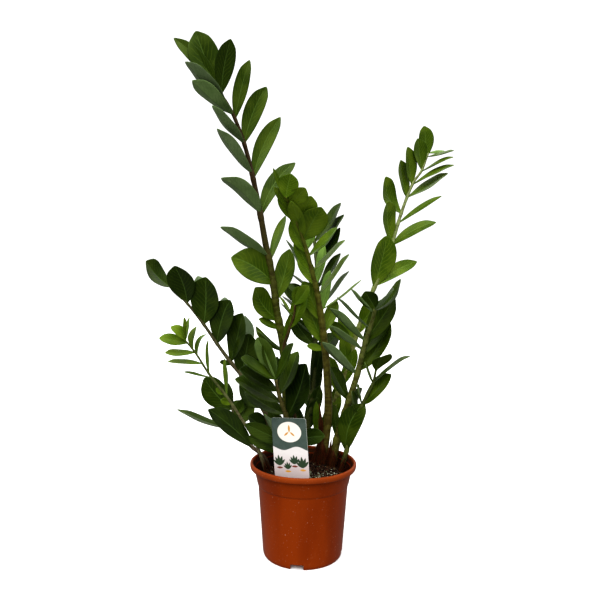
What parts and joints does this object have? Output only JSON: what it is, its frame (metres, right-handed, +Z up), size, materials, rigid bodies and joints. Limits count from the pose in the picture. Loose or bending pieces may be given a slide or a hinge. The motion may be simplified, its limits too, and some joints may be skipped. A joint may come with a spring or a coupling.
{
  "type": "potted zz plant",
  "caption": "Live ZZ plant in a terracotta-coloured nursery pot: arching fronds of glossy leaflets rise from bark soil, with a plain plant label in front.",
  "frame": {"origin": "centre of the pot's underside, on the surface that it stands on", "axes": "+Z up, -Y the front of the plant with the label, +X to the right as seen from the front"},
  "size_m": [0.5253, 0.2868, 0.802],
  "materials": {
    "pot_plastic": "satin moulded plastic, terracotta orange",
    "potting_soil": "loose dark bark and peat",
    "label_card": "printed plastic card, slate green and cream",
    "frond_dark": "waxy, glossy dark green leaf",
    "frond_fresh": "waxy, glossy fresh green leaf"
  },
  "bodies": {
    "root": {"pot": "pot_plastic", "soil": "potting_soil", "plant_label": "label_card", "frond_tall_left": "frond_dark", "frond_middle_front": "frond_fresh", "frond_right_arch": "frond_fresh", "frond_left_arch": "frond_dark", "frond_young_left": "frond_fresh", "frond_low_front": "frond_dark", "frond_right_front": "frond_dark", "frond_low_right": "frond_dark", "frond_middle_back": "frond_dark", "frond_low_left": "frond_dark", "frond_slender": "frond_fresh"}
  },
  "joints": []
}
